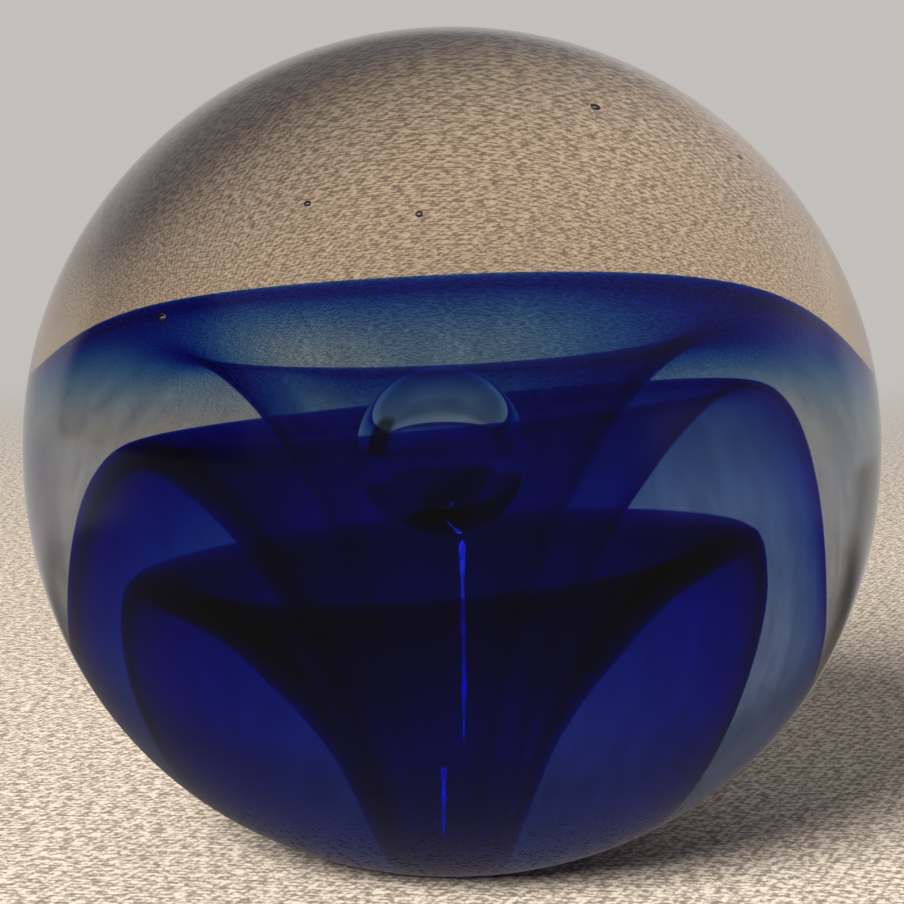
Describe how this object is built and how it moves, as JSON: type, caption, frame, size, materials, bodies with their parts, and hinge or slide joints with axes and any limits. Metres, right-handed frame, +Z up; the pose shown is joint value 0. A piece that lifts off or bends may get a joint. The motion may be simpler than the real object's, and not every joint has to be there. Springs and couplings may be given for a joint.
{
  "type": "paperweight",
  "caption": "Clear art-glass ball paperweight on a ground base, with nested cobalt veils shaped like mushrooms around a trapped air bubble.",
  "frame": {"origin": "centre of the flat ground base, on the surface that the ball stands on", "axes": "+Z up, along the ball's own axis of symmetry; +X to the right and -Y to the viewer of the side that the veils' shoulders slope up to the right on"},
  "size_m": [0.08, 0.08, 0.0774],
  "materials": {
    "clear_glass": "fire polished, ground flat underneath",
    "clear_glass_inner": "fused, no surface of its own",
    "cobalt_pale": "thin pale cobalt colour, fused",
    "cobalt": "cobalt colour, fused",
    "cobalt_deep": "deep cobalt colour, fused"
  },
  "bodies": {
    "root": {"casing": "clear_glass", "outer_veil": "cobalt_pale", "outer_gather": "clear_glass_inner", "middle_veil": "cobalt", "middle_gather": "clear_glass_inner", "inner_veil": "cobalt_deep", "core": "clear_glass_inner"}
  },
  "joints": []
}
